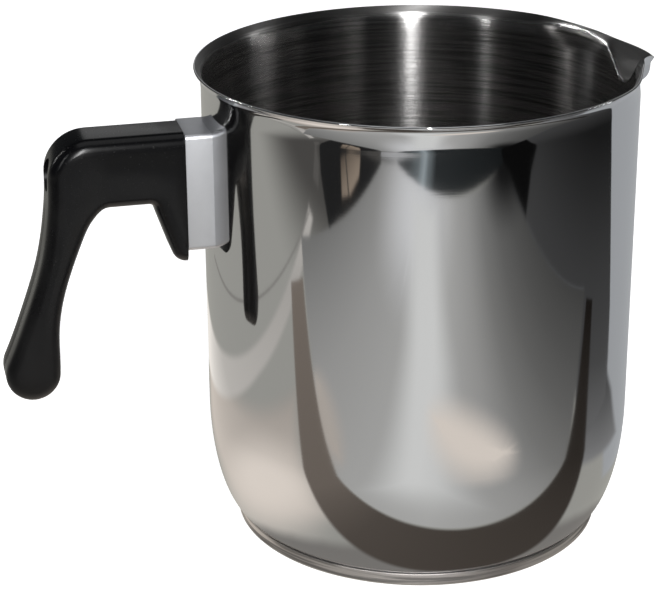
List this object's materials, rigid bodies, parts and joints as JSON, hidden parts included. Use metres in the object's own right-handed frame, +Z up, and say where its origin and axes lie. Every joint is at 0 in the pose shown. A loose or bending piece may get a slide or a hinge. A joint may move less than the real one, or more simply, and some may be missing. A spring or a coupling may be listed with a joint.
{
  "type": "candle melting pot",
  "caption": "Stainless steel pouring pot with flared lip, V spout, encapsulated base and a screwed-on pistol grip handle.",
  "frame": {"origin": "centre of the underside of the base, on the plane the pot stands on", "axes": "+Z up along the pot's axis, +X towards the pouring spout, -X towards the handle, +Y to the left when looking along +X"},
  "size_m": [0.2172, 0.1442, 0.1565],
  "materials": {
    "polished_steel": "mirror polished outside, fine circular brushing inside",
    "base_steel": "satin turned",
    "core_aluminium": "raw, hidden",
    "ferrule_steel": "satin",
    "bracket_steel": "raw, hidden",
    "bakelite": "moulded gloss black",
    "zinc": "bright zinc"
  },
  "bodies": {
    "root": {"pot_body": "polished_steel", "base_core": "core_aluminium", "base_cap": "base_steel", "ferrule": "ferrule_steel", "handle_bracket": "bracket_steel", "bracket_nut": "zinc", "handle": "bakelite", "handle_screw": "zinc", "flat_washer": "zinc", "spring_washer": "zinc"}
  },
  "joints": []
}
